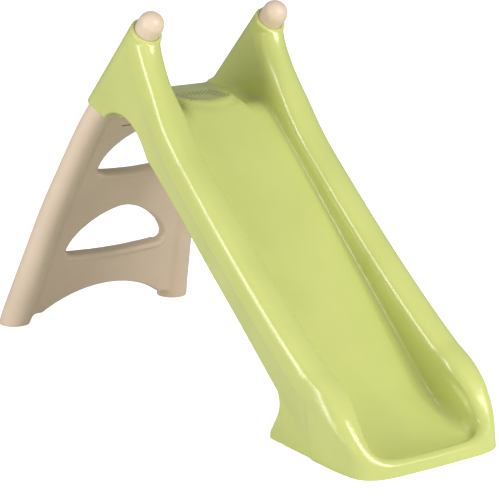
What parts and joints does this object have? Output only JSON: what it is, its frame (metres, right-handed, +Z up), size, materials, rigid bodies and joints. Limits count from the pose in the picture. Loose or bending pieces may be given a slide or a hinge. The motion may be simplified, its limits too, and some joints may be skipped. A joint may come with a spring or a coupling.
{
  "type": "toddler slide",
  "caption": "Free-standing toddler slide: a moulded chute with a wavy outlet that plugs onto a moulded step ladder.",
  "frame": {"origin": "on the ground, at the centre of the footprint", "axes": "+X the way a child slides, +Y to the slider's left, +Z up"},
  "size_m": [1.2284, 0.4724, 0.7278],
  "materials": {
    "chute_plastic": "glossy moulded polyethylene",
    "ladder_plastic": "satin moulded polyethylene",
    "catch_steel": "bright spring steel"
  },
  "bodies": {
    "ladder_frame": {"ladder": "ladder_plastic", "left_catch": "catch_steel", "right_catch": "catch_steel"},
    "chute_shell": {"chute": "chute_plastic"}
  },
  "joints": [
    {"name": "sleeve_slide", "type": "slide", "parent": "ladder_frame", "child": "chute_shell", "axis": [0.712, 0, 0.7022], "range_m": [0, 0.32], "deforming": ["left_catch", "right_catch"]}
  ]
}
